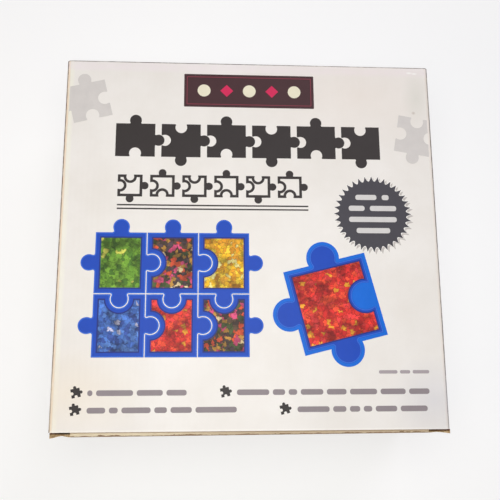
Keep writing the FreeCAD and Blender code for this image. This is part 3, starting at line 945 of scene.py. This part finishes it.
# Screen colours of the board, and of the plastic
COAT = ((236, 232, 227), (244, 241, 238))
FIBRES = (214, 206, 196)
# The cream tint along the folds is partly wear and partly a painted warm highlight
FOLD_CREAM = (246, 232, 204)
FOLD_RUBBED = (206, 176, 138)
# The lower flap's fold is tan from a painted warm reflection and shade, with some wear, lighter on
# the left
SHADED_TAN_LEFT, SHADED_TAN_RIGHT = (255, 243, 214), (222, 202, 172)
WORN_CLOUDS = (214, 186, 150)
# Painted shadow on the fold beside the front panel's end
PANEL_END_SHADOW = (166, 124, 86)
# Painted shade on the fold's lower part, which turns away from the light, up to a ragged line
FOLD_UNDERSIDE_SHADE = (152, 120, 84)
CLEAN = (238, 233, 226)
# Painted shadow in the gap beside the front panel's end
GAP_SHADOW_BROWN = (104, 64, 38)
LINER_BROWNS = ((176, 140, 92), (206, 172, 120))
EDGE_BROWNS = ((150, 116, 76), (240, 216, 174))
PLASTIC_BLUES = ((14, 62, 176), (20, 76, 198))
BAND_LEVELS = (89.8, 90.0)  # between these the bands set in
# Lines and tints along the front panel's edges: a painted highlight and a painted warm band on the
# left fold, a pink tint below the top end, a painted highlight along the lower end, a painted
# highlight on the right fold, painted shade lines at both folds' outer edges and a dark line along
# the top end. Columns: axis, low, high, softness, share and colour
EDGE_LIGHT_SHADE_AND_TINTS = (
    ("X", -103.2, -100.8, 0.9, 0.5, (249, 249, 230)),
    ("X", -104.3, -103.0, 0.2, 0.7, (250, 226, 200)),
    ("Y", 97.8, 102.8, 1.4, 0.5, (244, 234, 240)),
    ("Y", -103.3, -102.2, 0.3, 0.6, (254, 252, 246)),
    ("X", -106.0, -104.1, 0.06, 1.0, (118, 94, 78)),
    ("X", 102.8, 103.7, 0.3, 0.7, (248, 240, 236)),
    ("X", 103.9, 106.0, 0.06, 1.0, (100, 84, 78)),
    ("Y", 102.75, 104.0, 0.06, 1.0, (116, 108, 106)),
)
# Patches on the front panel: painted shade at the lower right, at the upper right and by the right
# edge near the top, painted warm light at the lower left, two small light scuffs and a dark speck:
# centre, size, share, colour
PANEL_LIGHT_SHADE_AND_SCUFFS = (
    ((97.0, -88.0), (26.0, 24.0), 0.5, (212, 212, 222)),
    ((-96.0, -84.0), (44.0, 26.0), 0.5, (242, 228, 206)),
    ((62.0, 84.0), (70.0, 34.0), 0.4, (232, 219, 208)),
    ((97.0, 84.0), (9.0, 20.0), 0.5, (212, 213, 203)),
    ((93.6, 99.8), (2.2, 0.9), 1.0, (255, 255, 252)),
    ((96.6, 99.4), (2.0, 0.8), 1.0, (255, 255, 252)),
    ((94.9, 74.7), (1.4, 1.2), 0.9, (196, 184, 174)),
)
# Inks, and the colours in each heap of bits, the last of them rare
INKS = {
    "plum": (74, 48, 52),
    "cream": (238, 232, 208),
    "crimson": (214, 44, 92),
    "dull_crimson": (138, 62, 76),
    "charcoal": (58, 53, 53),
    "slate": (74, 72, 80),
    "white": (216, 214, 214),
    "pale_rim": (252, 250, 247),
    "shadow": (200, 194, 191),
    "royal_blue": (22, 74, 190),
    "navy": (30, 48, 128),
    "light_blue": (48, 112, 222),
    "bright_blue": (4, 108, 220),
    "grey_violet": (148, 139, 144),
    "pale_violet": (172, 163, 168),
    "pale_grey": (215, 211, 209),
}
HEAPS = {
    "red": ((236, 56, 46), (244, 80, 52), (216, 46, 44), (238, 66, 64), (250, 170, 50)),
    "green": ((104, 152, 48), (126, 176, 58), (80, 126, 42), (112, 160, 50), (206, 206, 90)),
    "yellow": ((250, 194, 34), (254, 216, 60), (228, 156, 34), (240, 176, 48), (252, 238, 150)),
    "mid_blue": ((74, 120, 212), (98, 146, 230), (62, 92, 176), (84, 132, 220), (206, 208, 244)),
    "mixed_dark": (
        (74, 58, 52), (98, 76, 58), (84, 66, 72), (196, 146, 64),
        (84, 98, 56), (232, 92, 56), (214, 80, 124), (246, 222, 170),
    ),
}


def linear(*channels):
    """A screen colour, 0 to 255, as linear light."""
    values = []
    for channel in channels:
        c = channel / 255
        values.append(c / 12.92 if c <= 0.04045 else ((c + 0.055) / 1.055) ** 2.4)
    return (*values, 1.0)


class Shader:
    """A material with one Principled shader, and short ways to add nodes to it."""

    def __init__(self, name):
        self.material = bpy.data.materials.new(name)
        self.material.use_nodes = True
        self.tree = self.material.node_tree
        self.main = self.tree.nodes["Principled BSDF"]
        self.coordinates = self.node("TexCoord", {}).outputs["Object"]

    def put(self, socket, value):
        if isinstance(value, bpy.types.NodeSocket):
            self.tree.links.new(value, socket)
        else:
            socket.default_value = value

    def node(self, kind, values, **settings):
        """A new node. values are for its inputs, by name or number."""
        node = self.tree.nodes.new("ShaderNode" + kind)
        for setting, value in settings.items():
            setattr(node, setting, value)
        for key, value in values.items():
            self.put(node.inputs[key], value)
        return node

    def noise(self, size_mm, detail=3.0, roughness=0.5, stretch=(1.0, 1.0, 1.0)):
        """Noise with a feature size in millimetres."""
        mapping = self.node("Mapping", {"Scale": stretch, "Vector": self.coordinates})
        values = {"Scale": 1 / (size_mm * MM), "Detail": detail, "Roughness": roughness}
        return self.node("TexNoise", {**values, "Vector": mapping.outputs[0]}).outputs["Fac"]

    def attribute(self, name):
        return self.node("Attribute", {}, attribute_name=name).outputs["Fac"]

    def math(self, operation, *values, clamp=False):
        settings = {"operation": operation, "use_clamp": clamp}
        return self.node("Math", dict(enumerate(values)), **settings).outputs[0]

    def product(self, *values):
        total = values[0]
        for value in values[1:]:
            total = self.math("MULTIPLY", total, value)
        return total

    def ramp(self, value, stops, interpolation="LINEAR"):
        """A colour by a value. stops are pairs of place and colour."""
        stops = list(stops)
        node = self.node("ValToRGB", {0: value})
        node.color_ramp.interpolation = interpolation
        elements = node.color_ramp.elements
        while len(elements) < len(stops):
            elements.new(1.0)
        for element, (place, colour) in zip(elements, stops):
            element.position = place
            element.color = colour
        return node.outputs["Color"]

    def level(self, value, low, high):
        """0 where the value is low, 1 where it is high."""
        values = {"Value": value, "From Min": low, "From Max": high}
        return self.node("MapRange", values).outputs["Result"]

    def band(self, value, low, high, soft):
        """1 where the value lies between low and high."""
        rise = self.level(value, low - soft, low + soft)
        return self.product(rise, self.level(value, high + soft, high - soft))

    def mix(self, share, one, two, blend="MIX"):
        values = {0: share, 6: one, 7: two}
        return self.node("Mix", values, data_type="RGBA", blend_type=blend).outputs[2]

    def tint(self, colour, tone, *shares):
        """The colour with a screen colour over it, by the shares' product."""
        return self.mix(self.product(*shares), colour, linear(*tone))

    def blend(self, value, low, high, tones):
        """From the first of two screen colours to the other."""
        return self.ramp(value, zip((low, high), (linear(*tone) for tone in tones)))

    def bump(self, height, distance_mm, below=None):
        values = {"Height": height, "Distance": distance_mm * MM}
        if below is not None:
            values["Normal"] = below
        return self.node("Bump", values).outputs["Normal"]

    def along(self, axis):
        """A coordinate in millimetres."""
        node = self.node("SeparateXYZ", {0: self.coordinates})
        return self.product(node.outputs[axis], 1 / MM)

    def spot(self, centre, size):
        """An oval mark on the front panel: 1 in its middle, 0 at its edge."""
        scale = [1 / length for length in (*size, SPOT_HEIGHT)]
        mapping = self.node("Mapping", {
            "Scale": [part / MM for part in scale],
            "Location": [-place * part for place, part in zip((*centre, DEPTH), scale)],
            "Vector": self.coordinates,
        })
        away = self.node("VectorMath", {0: mapping.outputs[0]}, operation="LENGTH")
        return self.level(away.outputs["Value"], 1.0, 0.0)

    def board_relief(self, grain_mm=0.006):
        """Washboard from the flutes beneath, cockles, and the paper's fine grain."""
        turns = self.product(self.attribute("across"), 2 * math.pi / FLUTE_PITCH)
        normal = self.bump(self.math("SINE", turns), 0.006)
        normal = self.bump(self.noise(26.0, 2.0), 0.35, normal)
        return self.bump(self.noise(0.45, 3.0), grain_mm, normal)

    def surface(self, values):
        """Puts values on the surface's inputs, by name. This is the last step of a material."""
        for name, value in values.items():
            self.put(self.main.inputs[name], value)
        return self.material

    def looks(self, colour, normal, roughness, specular=SPECULAR):
        values = {"Base Color": colour, "Normal": normal, "Roughness": roughness}
        return self.surface({**values, "Specular IOR Level": specular})


def coated_board():
    """White coated paper on kraft, rubbed along its folds, with painted highlights, shade lines and
    tints along the panel's edges, painted shade and warm light in broad patches, and a few scuffs
    from handling.
    """
    shader = Shader("coated_board")
    colour = shader.blend(shader.noise(34.0, 4.0, 0.6), 0.3, 0.7, COAT)
    fibre = shader.level(shader.noise(0.7, 4.0, 0.7), 0.3, 0.75)
    colour = shader.tint(colour, FIBRES, fibre, 0.05)
    rubbed = shader.level(shader.noise(1.6, 5.0, 0.7, (1.0, 0.35, 1.0)), 0.42, 0.62)
    bend = shader.attribute("bend")
    wear = shader.product(rubbed, shader.math("POWER", bend, 1.6), 0.5)
    # Cream along the folds: partly wear, partly a painted warm highlight
    colour = shader.tint(colour, FOLD_CREAM, bend, 0.35)
    colour = shader.tint(colour, FOLD_RUBBED, wear, 0.5)
    places = {axis: shader.along(axis) for axis in "XYZ"}
    uneven = shader.level(shader.noise(5.0, 4.0, 0.7), 0.1, 0.55)
    upper = shader.level(places["Z"], *BAND_LEVELS)
    # Painted highlights, painted shade lines and tints along the panel's edges
    for axis, low, high, soft, share, tone in EDGE_LIGHT_SHADE_AND_TINTS:
        band = shader.band(places[axis], low, high, soft)
        colour = shader.tint(colour, tone, band, upper, share, uneven)
    # Painted shade and warm light in broad patches, and small scuffs
    for centre, size, share, tone in PANEL_LIGHT_SHADE_AND_SCUFFS:
        colour = shader.tint(colour, tone, shader.spot(centre, size), share)
    rough = shader.math("MULTIPLY_ADD", wear, 0.3, 0.4)
    return shader.looks(colour, shader.board_relief(), rough)


def shaded_worn_board():
    """The lower flap's board: white, with its fold tan from a painted warm reflection and shade
    with some wear, a painted shadow beside the front panel's end and painted shade where the fold
    turns under.
    """
    shader = Shader("shaded_worn_board")
    x, y, z = (shader.along(axis) for axis in "XYZ")
    # Painted warm reflection and shade on the fold, lighter on the left
    colour = shader.tint(linear(*SHADED_TAN_LEFT), SHADED_TAN_RIGHT, shader.level(x, -60.0, 0.0))
    cloud = shader.level(shader.noise(14.0, 4.0, 0.6), 0.3, 0.7)
    colour = shader.tint(colour, WORN_CLOUDS, cloud, 0.35)
    streaks = shader.level(shader.noise(2.2, 5.0, 0.7, (0.4, 1.0, 1.0)), 0.36, 0.62)
    # Painted shadow on the fold just beside the front panel's end
    panel_end_shadow = shader.level(y, -PANEL_END - 0.6, -PANEL_END - 0.3)
    colour = shader.tint(colour, PANEL_END_SHADOW, panel_end_shadow, 0.8)
    # Painted shade on the fold's lower part, below a ragged line, where it turns away from the
    # light
    underside_shade_line = shader.math("MULTIPLY_ADD", streaks, 0.9, FOLD_LEVEL - 1.5)
    rubbed = shader.level(shader.math("SUBTRACT", underside_shade_line, z), -0.1, 0.15)
    colour = shader.tint(colour, FOLD_UNDERSIDE_SHADE, rubbed)
    white = shader.level(z, FOLD_LEVEL - 2.2, FOLD_LEVEL - 2.8)
    lip = shader.level(y, -PANEL_END + 0.5, -PANEL_END + 1.5)
    colour = shader.tint(colour, CLEAN, shader.math("ADD", white, lip, clamp=True))
    return shader.looks(colour, shader.board_relief(0.02), WORN_ROUGHNESS)


def kraft(name, tones, blotch_mm):
    """Brown paper, with a painted shadow in the gap beside the front panel's end."""
    shader = Shader(name)
    strands = shader.noise(0.9, 5.0, 0.7, (1.0, 0.25, 1.0))
    cloud = shader.product(shader.noise(blotch_mm, 3.0), 0.5)
    colour = shader.blend(shader.math("MULTIPLY_ADD", strands, 0.6, cloud), 0.38, 0.72, tones)
    # Painted shadow in the gap beside the front panel's end, near the top
    gap = shader.band(shader.along("Y"), -PANEL_END - GAP_SHADE, -PANEL_END + 0.2, 0.2)
    near_top = shader.level(shader.along("Z"), DEPTH - 7, DEPTH - 5)
    colour = shader.tint(colour, GAP_SHADOW_BROWN, gap, near_top)
    return shader.looks(colour, shader.bump(strands, 0.04), KRAFT_ROUGHNESS, KRAFT_SPECULAR)


def ink_surface(shader, colour):
    """Gives an ink its colour, with the board's relief under it."""
    return shader.looks(colour, shader.board_relief(), INK_ROUGHNESS, INK_SPECULAR)


def ink(name, colour):
    """A flat ink, a little uneven."""
    shader = Shader(name)
    dark, light = (
        (*(channel * share for channel in linear(*colour)[:3]), 1.0)
        for share in (1 - INK_SPREAD, 1 + INK_SPREAD)
    )
    cover = shader.noise(7.0, 5.0, 0.65)
    return ink_surface(shader, shader.ramp(cover, [(0.3, dark), (0.7, light)]))


def heap(name, colours):
    """A heap of small jagged bits in a few colours, lit in drifts, with dark gaps in it."""
    shader = Shader(name)
    scale = 1 / (BIT_SIZE * MM)
    wobble = shader.node("TexNoise", {"Scale": BIT_WOBBLE * scale, "Vector": shader.coordinates})
    swing = (BIT_SWING * BIT_SIZE * MM,) * 3
    values = {0: wobble.outputs["Color"], 1: swing, 2: shader.coordinates}
    bent = shader.node("VectorMath", values, operation="MULTIPLY_ADD").outputs[0]
    values = {"Scale": (1.0, 1.0, 0.0), "Rotation": (0.0, 0.0, BIT_TURN), "Vector": bent}
    values = {"Scale": scale, "Vector": shader.node("Mapping", values).outputs[0]}
    bits = shader.node("TexVoronoi", values)
    edges = shader.node("TexVoronoi", values, feature="DISTANCE_TO_EDGE")
    pick = shader.node("SeparateColor", {0: bits.outputs["Color"]})
    spread = len(colours) - 1 + RARE_SHARE
    stops = [(index / spread, linear(*colour)) for index, colour in enumerate(colours)]
    colour = shader.ramp(pick.outputs[0], stops, "CONSTANT")
    for value, low in (
        (pick.outputs[1], 0.72),
        (shader.level(shader.noise(3.4 * BIT_SIZE, 3.0, 0.6), 0.36, 0.58), 0.38),
        (shader.level(edges.outputs["Distance"], 0.0, 0.09), 0.5),
    ):
        shade = shader.ramp(value, [(0.0, (low, low, low, 1.0)), (1.0, (1.08, 1.08, 1.08, 1.0))])
        colour = shader.mix(1.0, colour, shade, "MULTIPLY")
    return ink_surface(shader, colour)


def tray_plastic():
    shader = Shader("tray_plastic")
    colour = shader.blend(shader.noise(45.0, 3.0), 0.3, 0.7, PLASTIC_BLUES)
    rough = shader.level(shader.noise(3.0, 4.0), -0.6, 2.2)
    return shader.looks(colour, shader.bump(shader.noise(0.5, 2.0), 0.012), rough)


# Pieces

KRAFT_MATERIALS = [
    kraft("kraft_liner", LINER_BROWNS, 12.0),
    kraft("kraft_edge", EDGE_BROWNS, 2.4),
]
BOARD_MATERIALS = [coated_board()] + KRAFT_MATERIALS
WORN_MATERIALS = [shaded_worn_board()] + KRAFT_MATERIALS


def make_shell():
    draft = Draft()
    add_girth(draft)
    add_glue_flap(draft)
    for y_sign in (-1, 1):
        for x_sign in (-1, 1):
            add_dust_flap(draft, x_sign, y_sign)
    shell = draft.piece("carton_shell", BOARD_MATERIALS)
    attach(shell, "carton")
    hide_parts("carton_sleeve")


def make_closures():
    for y_sign, end, materials in ((-1, "bottom", WORN_MATERIALS), (1, "top", BOARD_MATERIALS)):
        flap = closure(f"{end}_closure", y_sign, materials)
        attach(flap, f"{end}_flap")
        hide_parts(f"{end}_tuck_flap")
        bend = crease(f"{end}_crease", y_sign, BOARD_MATERIALS)
        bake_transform(bend)


def make_print():
    inks = {name: ink(f"ink_{name}", tone) for name, tone in INKS.items()}
    inks.update((name, heap(f"ink_{name}", tones)) for name, tones in HEAPS.items())

    def add(name, tint, layer, shapes, holes=()):
        """A film of print. layer is its height, in layers of ink."""
        piece = film(f"ink_{name}", shapes, holes, inks[tint], layer * INK)
        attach(piece, "carton")
        if f"print_{name}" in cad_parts:
            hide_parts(f"print_{name}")

    add("label", "plum", 1, label_line(0.0))
    add("label_discs", "cream", 2, label_marks(-LABEL_MARK_REACH, DISC_SIDES))
    add("label_diamonds", "crimson", 2, label_marks(1 - LABEL_MARK_REACH, DIAMOND_SIDES))
    add("label_line", "dull_crimson", 2, *map(label_line, LABEL_LINE))
    heading = piece_row(HEADING_PLACE, HEADING_PIECE, HEADING_PITCH, -1, False)
    add("heading_pieces", "charcoal", 1, heading)
    add("line_pieces", "charcoal", 1, *map(line_pieces, (0.0, LINE_STROKE)))
    add("rules", "charcoal", 1, rules())
    add("badge_shadow", "shadow", 1 / 3, badge(BADGE_SHADOW_GROW, BADGE_SHADOW_SHIFT))
    add("badge_rim", "pale_rim", 2 / 3, badge(BADGE_RIM))
    add("badge", "slate", 1, badge())
    add("badge_bars", "white", 2, badge_bars())
    frames = framed_pieces(0.0, 0.0)
    fields = framed_pieces(MOSAIC_FRAME, STACK_RIM)
    bits = framed_pieces(MOSAIC_FRAME + FRAME_WALL, STACK_RIM + FRAME_WALL)
    add("blue_frames", "royal_blue", 1, frames, fields)
    add("frame_walls", "navy", 2, fields, bits)
    add("frame_lines", "light_blue", 2, *(framed_pieces(inset, inset) for inset in FRAME_LINE))
    add("stack_band", "bright_blue", 1, [stack_piece(-STACK_BAND)], frames[-1:])
    add("green_field", "green", 1, fields[:1])
    add("dark_fields", "mixed_dark", 1, fields[1:6:4])
    add("yellow_field", "yellow", 1, fields[2:3])
    add("blue_field", "mid_blue", 1, fields[3:4])
    add("red_fields", "red", 1, fields[4::2])
    add("icons", "charcoal", 1, icons())
    add("word_bars", "grey_violet", 1, bars(WORD_ROWS, WORD_HEIGHT, WORD_GAP))
    add("note_bars", "pale_violet", 1, bars(NOTE_ROWS, NOTE_HEIGHT, NOTE_GAP))
    add("pale_pieces", "pale_grey", 1, pale_pieces())


TRAY_WELD = 0.01
TRAY_BEVEL = {
    "width": 0.4 * MM,
    "segments": 2,
    "limit_method": "ANGLE",
    "angle_limit": math.radians(50),
    "harden_normals": True,
}


def finish_trays():
    """The trays and their lid keep their solids and get moulded edges."""
    plastic = tray_plastic()
    for name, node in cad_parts.items():
        if name.startswith("sorting_tray") or name == "storage_lid":
            node.data.materials.clear()
            node.data.materials.append(plastic)
            weld = node.modifiers.new("weld", "WELD")
            weld.merge_threshold = TRAY_WELD * MM
            bevel = node.modifiers.new("bevel", "BEVEL")
            for setting, value in TRAY_BEVEL.items():
                setattr(bevel, setting, value)


# Floor, light and camera

FLOOR_HALF = 15.0
FLOOR_SURFACE = {
    "Base Color": (0.5, 0.5, 0.5, 1.0),
    "Roughness": 0.9,
    "Specular IOR Level": 0.1,
    "Emission Color": (0.985, 0.99, 1.0, 1.0),
    "Emission Strength": 0.54,
}
WORLD = {"Color": (1.0, 0.985, 0.97, 1.0), "Strength": 0.4}
# Place, target, size, power and colour, in metres and watts
LIGHTS = {
    "near": ((-0.03, -0.04, 0.5), (-0.03, -0.04, 0.0), 0.25, 0.83, (0.97, 0.98, 0.94)),
    "low": ((-0.75, -0.35, 0.5), (0.0, 0.0, 0.05), 0.5, 0.95, (1.0, 0.75, 0.45)),
    "fill": ((0.6, 0.9, 1.2), (0.0, 0.0, 0.05), 0.9, 4.6, (0.92, 0.87, 1.0)),
}
CAMERA_PLACE = Vector((-0.0217, -0.0806, 0.4479))
CAMERA_FORWARD = Vector((0.0574, 0.2017, -0.9777))
CAMERA_UP = Vector((-0.0060, 0.9794, 0.2017))
CAMERA_LENS = 47.76
CAMERA_CLIP = 0.01


def make_floor():
    mesh = bpy.data.meshes.new("floor")
    corners = [(x * FLOOR_HALF, y * FLOOR_HALF, 0) for x, y in ((-1, -1), (1, -1), (1, 1), (-1, 1))]
    mesh.from_pydata(corners, [], [(0, 1, 2, 3)])
    mesh.materials.append(Shader("floor_paper").surface(FLOOR_SURFACE))
    new_object("floor", mesh)


def make_lights():
    world = bpy.data.worlds.new("studio")
    world.use_nodes = True
    for name, value in WORLD.items():
        world.node_tree.nodes["Background"].inputs[name].default_value = value
    bpy.context.scene.world = world
    for name, (place, target, size, power, colour) in LIGHTS.items():
        data = bpy.data.lights.new(name, "AREA")
        data.shape = "DISK"
        data.size = size
        data.energy = power
        data.color = colour
        light = new_object(name, data)
        light.location = place
        away = Vector(target) - Vector(place)
        light.rotation_euler = away.to_track_quat("-Z", "Y").to_euler()


def make_camera():
    data = bpy.data.cameras.new("camera")
    data.lens = CAMERA_LENS
    data.clip_start = CAMERA_CLIP
    camera = new_object("camera", data)
    forward = CAMERA_FORWARD.normalized()
    right = forward.cross(CAMERA_UP).normalized()
    turn = Matrix((right, right.cross(forward), -forward)).transposed().to_quaternion()
    camera.matrix_world = Matrix.LocRotScale(CAMERA_PLACE, turn, None)
    bpy.context.scene.camera = camera


make_shell()
make_closures()
make_print()
finish_trays()
make_floor()
make_lights()
make_camera()
bpy.context.scene.view_settings.view_transform = "Standard"
